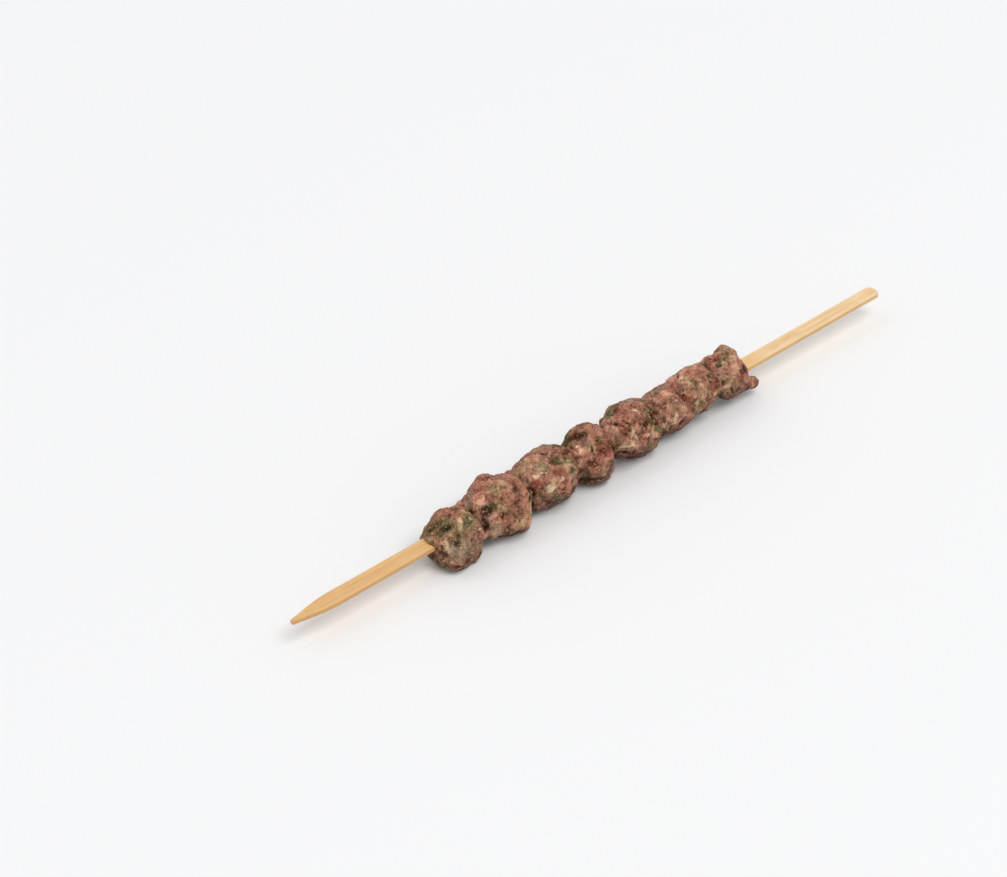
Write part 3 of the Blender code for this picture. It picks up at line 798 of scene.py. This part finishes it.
def cooked_mince():
    material, tree, surface = new_material("Cooked mince")
    in_mm = place_in_mm(tree)
    stored = {
        label: add(tree, "ShaderNodeAttribute", attribute_name=label).outputs["Fac"]
        for label in ("tint", "valley", "hollow", "strand", "pit", "facing", "joint", "lift", "ruddy", "pale")
    }
    noises = {
        size: add(tree, "ShaderNodeTexNoise",
                  {"Vector": in_mm, "Scale": 1 / size, "Detail": 2.0, "Roughness": 0.6})
        for size in (7.0, 3.0, 1.2, 0.55)
    }
    # Soft hue first. Here and there the meat is ruddier or, where herb juice ran, greener.
    slow = add(tree, "ShaderNodeTexNoise", {"Vector": in_mm, "Scale": 1 / 8.5, "Detail": 1.0})
    hue = total(tree, 0.5, ((slow, 0.5, 2.2), (stored["ruddy"], 0.0, 0.3)))
    shade = tinted(tree, share_of(tree, hue, 0.5, 0.9, 0.8), colour("9d6b53"), "aa6353")
    shade = tinted(tree, share_of(tree, hue, 0.5, 0.1, 0.8), shade, "866f4b")
    # The marks, each with an edge that a noise makes ragged.
    for label, code, hides in MARK_COLOURS:
        amount = add(tree, "ShaderNodeAttribute", attribute_name=label).outputs["Fac"]
        ragged = add(tree, "ShaderNodeMath", {0: noises[3.0], 1: 1.1, 2: amount}, operation="MULTIPLY_ADD")
        shade = tinted(tree, share_of(tree, ragged, 0.7, 1.35, hides), shade, code)
    # How pale the meat is, from its own texture and from painted shade and light: valleys, hollows and the
    # joints between lumps are painted darker as shade, and raised places are painted lighter as light. Lean
    # turns dark and fat turns cream, round the local hue.
    pale = total(tree, 0.4, (
        (noises[7.0], 0.5, 1.4),
        (noises[3.0], 0.5, 1.45),
        (noises[1.2], 0.5, 1.0),
        (noises[0.55], 0.5, 0.85),
        (stored["tint"], 0.5, 0.1),
        (stored["strand"], 0.5, 1.35),
        # Painted shade in valleys, hollows and where lumps meet; painted light on raised places.
        (stored["valley"], 0.45, -0.75),
        (stored["hollow"], 0.45, -0.55),
        (stored["joint"], 0.1, -0.35),
        (stored["lift"], 0.0, 0.15 / MM),
        (stored["pale"], 0.0, 1.0),
    ))
    darker = add(tree, "ShaderNodeMapRange",
                 {"Value": pale, "From Min": -0.5, "From Max": 0.55, "To Min": 0.2, "To Max": 1.0},
                 interpolation_type="SMOOTHSTEP")
    paler = add(tree, "ShaderNodeMapRange",
                {"Value": pale, "From Min": 0.45, "From Max": 1.25, "To Min": 1.0, "To Max": 1.65},
                interpolation_type="SMOOTHSTEP")
    factor = add(tree, "ShaderNodeMath", {0: darker, 1: paler}, operation="MULTIPLY")
    shade = add(tree, "ShaderNodeVectorMath", {0: shade.outputs[2], "Scale": factor}, operation="SCALE")
    shade = tinted(tree, share_of(tree, pale, 0.55, -0.5, 0.7), shade, "48290f")
    shade = tinted(tree, share_of(tree, pale, 0.45, 1.25, 0.42), shade.outputs[2], "dcb89b")
    # The underside is painted darker, partly as browning from the grill and partly as painted shade from
    # above, and the pits are painted dark as the shade inside them.
    underside_browning_and_shade = share_of(tree, stored["facing"], 0.2, -0.8, 0.75)
    pit_and_underside_shade = add(tree, "ShaderNodeMath", {0: stored["pit"], 1: 0.7}, operation="MULTIPLY")
    pit_and_underside_shade = add(tree, "ShaderNodeMath", {0: pit_and_underside_shade, 1: underside_browning_and_shade}, operation="MAXIMUM")
    shade = tinted(tree, pit_and_underside_shade, shade, "3a2010")
    tree.links.new(shade.outputs[2], surface.inputs["Base Color"])
    wet = add(tree, "ShaderNodeMapRange",
              {"Value": noises[3.0], "From Min": 0.3, "From Max": 0.7, "To Min": 0.32, "To Max": 0.6})
    tree.links.new(wet.outputs[0], surface.inputs["Roughness"])
    surface.inputs["IOR"].default_value = 1.42
    surface.inputs["Subsurface Weight"].default_value = 0.1
    surface.inputs["Subsurface Radius"].default_value = (1.0, 0.35, 0.2)
    surface.inputs["Subsurface Scale"].default_value = 1.0 * MM
    # Dark places are folds and gaps, which hardly see the light that a moist film would mirror.
    film = add(tree, "ShaderNodeMapRange",
               {"Value": pale, "From Min": -0.1, "From Max": 0.8, "To Min": 0.08, "To Max": 0.42})
    tree.links.new(film.outputs[0], surface.inputs["Specular IOR Level"])
    bump = add(tree, "ShaderNodeBump", {"Height": noises[0.55], "Strength": 0.5, "Distance": 0.2 * MM})
    tree.links.new(bump.outputs[0], surface.inputs["Normal"])
    return material


mince = cooked_mince()
print("cooked mince:", len(mince.node_tree.nodes), "nodes")

# %% [markdown]
# Each skin now takes the grain, becomes a plain mesh again, and stands for its lump of the frame. Rough
# skins of the lumps beside it are its neighbours, so the grain knows where to swell.

# %% Dress the lumps
rough_objects = {name: new_object(name + "_rough", skin) for name, skin in rough_skins.items()}
lumps = {}
for index, name in enumerate(LUMPS):
    neighbours = bpy.data.collections.new(name + "_neighbours")
    for other in LUMPS[max(index - 1, 0) : index + 2]:
        if other != name:
            neighbours.objects.link(rough_objects[other])
    obj = new_object(name + "_mince", skins[name])
    run_tree(obj, mince_grain, Neighbours=neighbours, Material=mince)
    lump = new_object(name + "_mince", made_mesh(obj, name + "_mince"))
    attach(lump, "root")
    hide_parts(name)
    lumps[name] = lump
    print(lump.name, triangles(lump.data), "triangles")

for obj in rough_objects.values():
    bpy.data.objects.remove(obj)

# %% [markdown]
# ## What was chopped into the mince
#
# Parsley, onion and lumps of fat show on the surface of hand-made kofta, half sunk in it. Each kind is a
# handful of small shapes; a second Geometry Nodes tree throws them over the meat at points that keep a
# distance from each other, more of them where a mark of their kind lies. Then it bends each one to the
# meat, by moving every point of it to the nearest place on the surface plus its own height. They could
# be painted on instead, but a bit that stands 0.2 mm proud catches the light on one side.

# %% Shapes of the bits
def closed_mesh(name, points, faces, heights):
    """A mesh of points in millimetres, with the height that each point keeps above the meat."""
    mesh = bpy.data.meshes.new(name)
    mesh.from_pydata([Vector(p) * MM for p in points], [], faces)
    mesh.attributes.new("rise", "FLOAT", "POINT").data.foreach_set("value", [h * MM for h in heights])
    mesh.validate()
    return mesh


def leaf_bit(name, rng, across, thickness, corners=9):
    """A torn bit of leaf: a flat, uneven outline with a middle ring, closed below."""
    outline = []
    for corner in range(corners):
        turn = math.tau * (corner + rng.uniform(-0.3, 0.3)) / corners
        reach = across / 2 * rng.uniform(0.62, 1.1)
        outline.append((reach * math.cos(turn), reach * 0.72 * math.sin(turn)))
    points, heights = [], []
    for sign in (1, -1):
        for share, crinkle in ((1.0, 0.3), (0.5, 1.0)):
            for x, y in outline:
                lift = sign * thickness / 2 + thickness * crinkle * rng.uniform(0, 0.9)
                points.append((x * share, y * share, lift))
                heights.append(lift)
        points.append((0, 0, sign * thickness / 2 + thickness * 0.5))
        heights.append(points[-1][2])
    faces = []
    layer = 2 * corners + 1
    for first, turn in ((0, 1), (layer, -1)):
        for k in range(corners):
            a, b = k, (k + 1) % corners
            quad = (first + a, first + b, first + corners + b, first + corners + a)
            tri = (first + corners + a, first + corners + b, first + 2 * corners)
            faces += [quad[::turn], tri[::turn]]
    for k in range(corners):
        a, b = k, (k + 1) % corners
        faces.append((a, layer + a, layer + b, b))
    return closed_mesh(name, points, faces, heights)


def lump_bit(name, rng, across, flat, sunk):
    """A chopped bit: a ball of 80 faces, squashed and dented. sunk is the share of it below the surface."""
    ball = bmesh.new()
    bmesh.ops.create_icosphere(ball, subdivisions=2, radius=1.0)
    shift = Vector(rng.uniform(-50, 50, 3))
    points, heights = [], []
    for vert in ball.verts:
        grown = vert.co * (1 + 0.35 * noise.noise(vert.co * 1.3 + shift))
        point = Vector((grown.x * across / 2, grown.y * across / 2 * 0.75, grown.z * across / 2 * flat))
        point.z += across / 2 * flat * (1 - 2 * sunk)
        points.append(point)
        heights.append(point.z)
    faces = [[v.index for v in face.verts] for face in ball.faces]
    ball.free()
    return closed_mesh(name, points, faces, heights)


def strand_bit(name, rng, length, width, sides=5, steps=8):
    """A strand of meat or fat: a thin tube along a wavering line, pointed at both ends."""
    bend, wave = rng.uniform(-0.14, 0.14, 2) * length
    points, heights = [], []
    for step in range(1, steps):
        t = step / steps
        sideways = bend * math.sin(math.pi * t) + wave * math.sin(math.tau * t) / 2
        middle = np.array((length * (t - 0.5), sideways))
        thick = width / 2 * math.sin(math.pi * t) ** 0.4 * rng.uniform(0.8, 1.2)
        for side in range(sides):
            turn = math.tau * side / sides
            points.append((middle[0], middle[1] + thick * math.cos(turn), thick * math.sin(turn)))
            heights.append(thick * math.sin(turn) * 0.7)
    faces = []
    for step in range(steps - 2):
        for side in range(sides):
            a, b = step * sides + side, step * sides + (side + 1) % sides
            faces.append((a, b, b + sides, a + sides))
    first, last = len(points), len(points) + 1
    points += [(-length / 2, 0, 0), (length / 2, 0, 0)]
    heights += [0, 0]
    for side in range(sides):
        a, b = side, (side + 1) % sides
        faces.append((first, b, a))
        faces.append((last, a + (steps - 2) * sides, b + (steps - 2) * sides))
    return closed_mesh(name, points, faces, heights)


def family(name, count, seed, make, **ranges):
    """A collection of count shapes, made with sizes drawn evenly from the given ranges."""
    rng = np.random.default_rng(seed)
    kin = bpy.data.collections.new(name)
    for number in range(count):
        sizes = {key: rng.uniform(*span) for key, span in ranges.items()}
        mesh = make(f"{name}_{number}", rng, **sizes)
        kin.objects.link(bpy.data.objects.new(mesh.name, mesh))
    return kin


FAMILIES = {
    "herbs": family("parsley", 14, 3, leaf_bit, across=(1.3, 3.2), thickness=(0.1, 0.16)),
    "onion": family("onion", 10, 5, lump_bit, across=(0.8, 1.7), flat=(0.25, 0.4), sunk=(0.55, 0.7)),
    "fat": family("fat", 8, 7, lump_bit, across=(0.4, 0.95), flat=(0.3, 0.5), sunk=(0.5, 0.65)),
    "crumbs": family("crumb", 10, 9, lump_bit, across=(0.5, 1.5), flat=(0.35, 0.55), sunk=(0.5, 0.65)),
    "strands": family("strand", 12, 11, strand_bit, length=(1.6, 4.2), width=(0.2, 0.36)),
}

# %% Scatter tree
SCATTER_SIZES = {
    "Spacing": 1.5,
    "Per square cm": 4.0,
    "Everywhere": 0.2,
    "Smallest": 0.7,
    "Largest": 1.2,
    "Seed": 1.0,
}


def scatter_tree(where):
    """Bits of a collection thrown over a surface, denser where the attribute where is high."""
    tree, given, out = new_tree("Scatter by " + where, SCATTER_SIZES, "Bits")
    size = given.outputs
    surface = given.outputs["Geometry"]
    normal = add(tree, "GeometryNodeInputNormal")
    here = add(tree, "GeometryNodeInputPosition")
    seed = add(tree, "FunctionNodeFloatToInt", {0: size["Seed"]})
    # Where: everywhere a little, more under the marks, and nothing inside a neighbouring lump.
    amount = add(tree, "GeometryNodeInputNamedAttribute", {"Name": where}, data_type="FLOAT")
    likely = add(tree, "ShaderNodeMath", {0: amount, 1: size["Everywhere"]}, operation="ADD", use_clamp=True)
    buried = add(tree, "GeometryNodeInputNamedAttribute", {"Name": "buried"}, data_type="FLOAT")
    open_air = add(tree, "ShaderNodeMath", {0: 1.0, 1: buried}, operation="SUBTRACT")
    factor = add(tree, "ShaderNodeMath", {0: likely, 1: open_air}, operation="MULTIPLY")
    spacing = add(tree, "ShaderNodeMath", {0: size["Spacing"], 1: MM}, operation="MULTIPLY")
    density = add(tree, "ShaderNodeMath", {0: size["Per square cm"], 1: 1e4}, operation="MULTIPLY")
    thrown = add(tree, "GeometryNodeDistributePointsOnFaces",
                 {"Mesh": surface, "Distance Min": spacing, "Density Max": density,
                  "Density Factor": factor, "Seed": seed},
                 distribute_method="POISSON")
    # Each takes a random shape of the family, a random turn about the surface's normal and a random size.
    shapes = add(tree, "GeometryNodeCollectionInfo",
                 {"Collection": size["Bits"], "Separate Children": True, "Reset Children": True})
    spin = add(tree, "FunctionNodeRandomValue", {"Max": math.tau, "Seed": seed}, data_type="FLOAT")
    about = add(tree, "ShaderNodeCombineXYZ", {"Z": spin})
    turned = add(tree, "FunctionNodeRotateRotation",
                 {"Rotation": thrown.outputs["Rotation"], "Rotate By": about}, rotation_space="LOCAL")
    scale = add(tree, "FunctionNodeRandomValue",
                {"Min": size["Smallest"], "Max": size["Largest"], "Seed": seed}, data_type="FLOAT")
    placed = add(tree, "GeometryNodeInstanceOnPoints",
                 {"Points": thrown.outputs["Points"], "Instance": shapes, "Pick Instance": True,
                  "Rotation": turned, "Scale": scale})
    own = add(tree, "FunctionNodeRandomValue", {"Seed": 77}, data_type="FLOAT")
    named = add(tree, "GeometryNodeStoreNamedAttribute", {"Geometry": placed, "Name": "bit", "Value": own},
                data_type="FLOAT", domain="INSTANCE")
    real = add(tree, "GeometryNodeRealizeInstances", {"Geometry": named})
    # Bend each bit to the meat: the nearest place on the surface, plus the point's own height.
    near = add(tree, "GeometryNodeProximity", {0: surface}, target_element="FACES")
    outward = add(tree, "GeometryNodeSampleNearestSurface", {"Mesh": surface, "Value": normal},
                  data_type="FLOAT_VECTOR")
    rise = add(tree, "GeometryNodeInputNamedAttribute", {"Name": "rise"}, data_type="FLOAT")
    lifted = add(tree, "ShaderNodeVectorMath", {0: outward, "Scale": rise}, operation="SCALE")
    target = add(tree, "ShaderNodeVectorMath", {0: near.outputs["Position"], 1: lifted}, operation="ADD")
    bent = add(tree, "GeometryNodeSetPosition", {"Geometry": real, "Position": target})
    # A bit with even one corner at the floor is left out whole. Flattened into the floor's plane, it would
    # share that plane with the meat's own underside, and two faces in one plane show as black patches.
    now = add(tree, "ShaderNodeSeparateXYZ", {0: add(tree, "GeometryNodeInputPosition")})
    low = add(tree, "ShaderNodeMath", {0: now.outputs["Z"], 1: 0.05 * MM}, operation="LESS_THAN")
    which = add(tree, "GeometryNodeInputMeshIsland")
    corners = add(tree, "GeometryNodeAccumulateField", {"Value": low, "Group ID": which},
                  data_type="FLOAT", domain="POINT")
    down = add(tree, "FunctionNodeCompare", {0: corners.outputs["Total"], 1: 0.5},
               data_type="FLOAT", operation="GREATER_THAN")
    clear = add(tree, "GeometryNodeDeleteGeometry", {"Geometry": bent, "Selection": down}, domain="POINT")
    end_tree(tree, clear, size["Material"], out)
    return tree


def joined(name, objects):
    """One mesh object of the given ones, in place."""
    whole = bmesh.new()
    for obj in objects:
        whole.from_mesh(obj.data)
    mesh = bpy.data.meshes.new(name)
    whole.to_mesh(mesh)
    whole.free()
    return new_object(name, mesh)


def bit_material(name, dark, pale, size_mm, roughness, subsurface):
    """A bit's material: one tint per bit and a finer mottle, between two colours."""
    material, tree, surface = new_material(name)
    in_mm = place_in_mm(tree)
    mottle = add(tree, "ShaderNodeTexNoise", {"Vector": in_mm, "Scale": 1 / size_mm, "Detail": 2.0})
    own = add(tree, "ShaderNodeAttribute", attribute_name="bit").outputs["Fac"]
    value = total(tree, 0.5, ((own, 0.5, 0.9), (mottle, 0.5, 1.0)))
    shade = ramp(tree, value, ((0.0, dark), (1.0, pale)))
    tree.links.new(shade.outputs[0], surface.inputs["Base Color"])
    surface.inputs["Roughness"].default_value = roughness
    surface.inputs["IOR"].default_value = 1.42
    surface.inputs["Subsurface Weight"].default_value = subsurface
    surface.inputs["Subsurface Radius"].default_value = (0.6, 0.4, 0.25)
    surface.inputs["Subsurface Scale"].default_value = 1.0 * MM
    return material


# %% Throw the bits
# In the heat parsley dulls to olive, onion goes glassy and tan, and fat turns to waxy cream. Crumbs stand
# out from the meat and so brown most, and the strands are its pale connective tissue.
# Each kind has its family, its attribute, its material, and its sizes.
BITS = {
    "chopped_herbs": ("herbs", "herb",
                      bit_material("Chopped parsley", "37361a", "78703f", 0.8, 0.6, 0.05),
                      {"Spacing": 0.9, "Per square cm": 44.0, "Everywhere": 0.015, "Seed": 4.0}),
    "onion_bits": ("onion", "grey",
                   bit_material("Cooked onion", "94775a", "c3a484", 0.7, 0.4, 0.15),
                   {"Spacing": 1.8, "Per square cm": 8.0, "Everywhere": 0.15, "Seed": 5.0}),
    "fat_grains": ("fat", "cream",
                   bit_material("Lamb fat", "ac8868", "d4b896", 0.5, 0.42, 0.2),
                   {"Spacing": 0.8, "Per square cm": 34.0, "Everywhere": 0.07, "Seed": 6.0}),
    "browned_crumbs": ("crumbs", "dark",
                       bit_material("Browned mince crumbs", "6b4631", "a87a5a", 0.6, 0.5, 0.05),
                       {"Spacing": 1.1, "Per square cm": 16.0, "Everywhere": 0.3, "Seed": 7.0}),
    "mince_strands": ("strands", "pink",
                      bit_material("Mince strands", "8f6549", "d2ad88", 0.8, 0.45, 0.12),
                      {"Spacing": 1.2, "Per square cm": 14.0, "Everywhere": 0.35, "Seed": 8.0}),
}
for name, (kind, where, material, sizes) in BITS.items():
    obj = joined(name, lumps.values())
    run_tree(obj, scatter_tree(where), Bits=FAMILIES[kind], Material=material, **sizes)
    piece = new_object(name, made_mesh(obj, name))
    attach(piece, "root")
    print(name, triangles(piece.data), "triangles")

# %% [markdown]
# ## The stick
#
# A flat kebab stick is split from a bamboo culm and planed, so its fibres all run along it. The hard
# fibres stand a few hundredths of a millimetre proud of the softer wood between them, which gives the planed
# faces their fine lines, and the sawn edges are painted browner, partly for their harder fibre and partly as
# painted shade on the sides. The frame's solid has only a few long faces,
# so the stick gets a skin of its own, lofted from cross-sections whose widths are measured on that
# solid. Modelling the lines one by one would be slow; a noise drawn out fifty times along the stick is a
# good likeness of them. Where the stick enters the meat, fat ran along it and stained it yellow.

# %% A skin for the stick
STATIONS = 250
CROWDING = 0.9  # how strongly the stations gather towards the ends, from 0 to 1
END_GAP = 0.02 * MM
CORNER = 0.25 * MM
ACROSS_STEPS = 13  # from the middle of a broad face to its edge
ACROSS_TURN = math.pi / 2 * 0.92  # the steps follow a sine, so they are finer towards the edge


def slat_widths():
    """The stations along the stick, closer together near its ends, with the half width at each."""
    surface = surface_of(STICK)
    low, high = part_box(STICK)
    centre = (low + high) / 2
    found = []
    for step in range(STATIONS + 1):
        share = step / STATIONS
        share -= CROWDING * math.sin(math.tau * share) / math.tau
        x = low.x + END_GAP + (high.x - low.x - 2 * END_GAP) * share
        hit = surface.ray_cast(Vector((x, high.y + MM, centre.z)), Vector((0, -1, 0)))[0]
        found.append((x, hit.y - centre.y))
    return found, centre, (high.z - low.z) / 2


def section(half_width, half_thickness):
    """One cross-section: a rectangle whose corners are rounded by pulling them towards an inner one."""
    across = [half_width * math.sin(ACROSS_TURN * k / ACROSS_STEPS) / math.sin(ACROSS_TURN)
              for k in range(-ACROSS_STEPS, ACROSS_STEPS + 1)]
    up = [half_thickness * k / 4 for k in range(-3, 4)]
    outline = [(y, half_thickness) for y in across] + [(half_width, -z) for z in up]
    outline += [(-y, -half_thickness) for y in across] + [(-half_width, z) for z in up]
    inner_y, inner_z = max(half_width - CORNER, 0.0), half_thickness - CORNER
    ring = []
    for y, z in outline:
        near = Vector((min(max(y, -inner_y), inner_y), min(max(z, -inner_z), inner_z)))
        ring.append(near + (Vector((y, z)) - near).normalized() * CORNER)
    return ring


def slat_mesh():
    found, centre, half_thickness = slat_widths()
    points, faces = [], []
    for x, half_width in found:
        ring = section(half_width, half_thickness)
        points += [(x, centre.y + y, centre.z + z) for y, z in ring]
    count = len(ring)
    for step in range(len(found) - 1):
        for k in range(count):
            a, b = step * count + k, step * count + (k + 1) % count
            faces.append((a, b, b + count, a + count))
    faces.append(tuple(range(count))[::-1])
    faces.append(tuple(range(len(points) - count, len(points))))
    mesh = bpy.data.meshes.new("slat")
    mesh.from_pydata(points, [], faces)
    work = bmesh.new()
    work.from_mesh(mesh)
    bmesh.ops.recalc_face_normals(work, faces=work.faces)
    bmesh.ops.triangulate(work, faces=[face for face in work.faces if len(face.verts) > 4])
    work.to_mesh(mesh)
    work.free()
    return mesh


slat = slat_mesh()
print("stick skin:", triangles(slat), "triangles")

# %% Fibre tree
FIBRE_SIZES = {"Fibre width": 0.32, "Fibre height": 0.05, "Plane width": 1.6, "Plane height": 0.07}


def fibre_tree():
    tree, given, out = new_tree("Bamboo fibres", FIBRE_SIZES)
    size = given.outputs
    normal = add(tree, "GeometryNodeInputNormal")
    here = add(tree, "GeometryNodeInputPosition")
    place = add(tree, "ShaderNodeVectorMath", {0: here, "Scale": 1 / MM}, operation="SCALE")
    drawn_out = add(tree, "ShaderNodeVectorMath", {0: place, 1: (0.02, 1.0, 1.0)}, operation="MULTIPLY")
    height = None
    for label, seed in (("Fibre", 0.0), ("Plane", 40.0)):
        each = add(tree, "ShaderNodeMath", {0: 1.0, 1: size[label + " width"]}, operation="DIVIDE")
        shifted = add(tree, "ShaderNodeVectorMath", {0: drawn_out, 1: (seed, seed, seed)}, operation="ADD")
        lines = add(tree, "ShaderNodeTexNoise", {"Vector": shifted, "Scale": each, "Detail": 1.0})
        centred = add(tree, "ShaderNodeMath", {0: lines, 1: 0.5}, operation="SUBTRACT")
        part = add(tree, "ShaderNodeMath", {0: centred, 1: size[label + " height"]}, operation="MULTIPLY")
        height = add(tree, "ShaderNodeMath", {0: part, 1: height or 0.0}, operation="ADD")
        fibres = lines if label == "Fibre" else fibres
    metres = add(tree, "ShaderNodeMath", {0: height, 1: 2 * MM}, operation="MULTIPLY")
    push = add(tree, "ShaderNodeVectorMath", {0: normal, "Scale": metres}, operation="SCALE")
    edge = add(tree, "ShaderNodeMath", {0: add(tree, "ShaderNodeSeparateXYZ", {0: normal}).outputs["Y"]},
               operation="ABSOLUTE")
    shape = stored_on(tree, given.outputs["Geometry"], {"fibre": fibres, "edge": edge})
    moved = add(tree, "GeometryNodeSetPosition", {"Geometry": shape, "Offset": push})
    end_tree(tree, moved, size["Material"], out)
    return tree


# %% Bamboo
def bamboo():
    """Planed bamboo: fine lines along it, edges painted browner for their fibre and as shade, a warmer
    pointed half, and grease by the meat.
    """
    material, tree, surface = new_material("Planed bamboo")
    in_mm = place_in_mm(tree)
    along = add(tree, "ShaderNodeSeparateXYZ", {0: in_mm}).outputs["X"]
    stretched = add(tree, "ShaderNodeMapping", {"Vector": in_mm, "Scale": (0.02, 1.0, 1.0)})
    bands = add(tree, "ShaderNodeTexNoise", {"Vector": stretched, "Scale": 1 / 1.4, "Detail": 3.0})
    clouds = add(tree, "ShaderNodeTexNoise", {"Vector": in_mm, "Scale": 1 / 6.0, "Detail": 2.0})
    fibre = add(tree, "ShaderNodeAttribute", attribute_name="fibre").outputs["Fac"]
    edge = add(tree, "ShaderNodeAttribute", attribute_name="edge").outputs["Fac"]
    value = total(tree, 0.5, ((fibre, 0.5, 0.8), (bands, 0.5, 0.9), (clouds, 0.5, 0.35)))
    shade = ramp(tree, value, ((0.15, "dcaf76"), (0.5, "eecb9a"), (0.85, "f5dab0")))
    toasted = share_of(tree, along, 50, -60, 1.0)
    shade = add(tree, "ShaderNodeMix", {"Factor": toasted, "A": shade.outputs[0], "B": colour("f2e2ca")},
                data_type="RGBA", blend_type="MULTIPLY")
    # The side faces are painted browner: partly harder fibre, partly painted shade.
    shade = tinted(tree, share_of(tree, edge, 0.4, 0.9, 0.38), shade.outputs[2], "b07f45")
    from_middle = add(tree, "ShaderNodeMath", {0: along}, operation="ABSOLUTE")
    reach = total(tree, 0.0, ((clouds, 0.5, 9.0), (from_middle, 0.0, 1.0)))
    shade = tinted(tree, share_of(tree, reach, 90, 78, 0.3), shade.outputs[2], "eabb68")
    tree.links.new(shade.outputs[2], surface.inputs["Base Color"])
    surface.inputs["Roughness"].default_value = 0.5
    surface.inputs["Specular IOR Level"].default_value = 0.35
    return material


obj = new_object("bamboo_stick_grain", slat)
run_tree(obj, fibre_tree(), Material=bamboo())
stick = new_object("bamboo_stick_grain", made_mesh(obj, "bamboo_stick_grain"))
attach(stick, "root")
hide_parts(STICK)
print("stick:", triangles(stick.data), "triangles")

# %% [markdown]
# ## Floor, light and camera
#
# Browned mince is dark and rough, so hard light would fill its pits with black and put sharp glints on the
# fat. A pale sky gives the even part of the light. One broad softbox, high up at the right of the camera,
# models the rounded side of each lump, and a weak one at the left opens the shaded side. The floor is
# matt white paper, which mirrors nothing and throws light back up under the meat. A long lens far away
# keeps the near and the far end of the stick nearly the same width.

# %% Stage
floor_mesh = bpy.data.meshes.new("floor")
floor_work = bmesh.new()
bmesh.ops.create_grid(floor_work, x_segments=1, y_segments=1, size=4.0)
floor_work.to_mesh(floor_mesh)
floor_work.free()
floor = new_object("floor", floor_mesh)
floor_paint, _, floor_surface = new_material("Matt white paper")
floor_surface.inputs["Base Color"].default_value = colour("f4f4f4")
floor_surface.inputs["Roughness"].default_value = 0.9
floor_mesh.materials.append(floor_paint)
floor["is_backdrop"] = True

# %% Light
LAMP_DISTANCE = 6.0
AZIMUTH, ELEVATION = -43.19, 36.468  # the camera's, in degrees; the lamps are placed from them

world = bpy.data.worlds.new("Pale studio")
world.use_nodes = True
sky = world.node_tree.nodes["Background"]
sky.inputs["Color"].default_value = colour("f6f7f8")
sky.inputs["Strength"].default_value = 0.7
bpy.context.scene.world = world
bpy.context.scene.view_settings.view_transform = "Standard"


def toward(azimuth, elevation):
    """The direction from the object to a point at this azimuth and elevation, in degrees."""
    a, e = math.radians(azimuth), math.radians(elevation)
    return Vector((math.sin(a) * math.cos(e), -math.cos(a) * math.cos(e), math.sin(e)))


middle = (cad_box[0] + cad_box[1]) / 2


def softbox(name, azimuth, elevation, side, watts):
    """A square lamp of this side in metres, aimed at the middle of the skewer."""
    data = bpy.data.lights.new(name, "AREA")
    data.shape = "SQUARE"
    data.size = side
    data.energy = watts
    lamp = bpy.data.objects.new(name, data)
    bpy.context.scene.collection.objects.link(lamp)
    lamp.location = middle + toward(azimuth, elevation) * LAMP_DISTANCE
    lamp.rotation_euler = (-toward(azimuth, elevation)).to_track_quat("-Z", "Y").to_euler()


softbox("Right softbox", AZIMUTH + 50, 64, side=3.4, watts=152)
softbox("Left fill", AZIMUTH - 100, 55, side=3.0, watts=18)

# %% Camera
CAMERA_DISTANCE = 1.65367
AIM = Vector((-21.18, 28.45, 10.5)) * MM

camera_data = bpy.data.cameras.new("Camera")
camera_data.lens = 159.14
camera_data.sensor_width = 36
camera = bpy.data.objects.new("Camera", camera_data)
bpy.context.scene.collection.objects.link(camera)
camera.location = AIM + toward(AZIMUTH, ELEVATION) * CAMERA_DISTANCE
camera.rotation_euler = (-toward(AZIMUTH, ELEVATION)).to_track_quat("-Z", "Y").to_euler()
bpy.context.scene.camera = camera

# %% Sizes, and the end
bpy.context.view_layer.update()
sizes = {"cad": [list(c) for c in cad_box], "visual": [list(c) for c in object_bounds()]}
print("visual model, mm:", [round((b - a) / MM, 1) for a, b in zip(*sizes["visual"])])
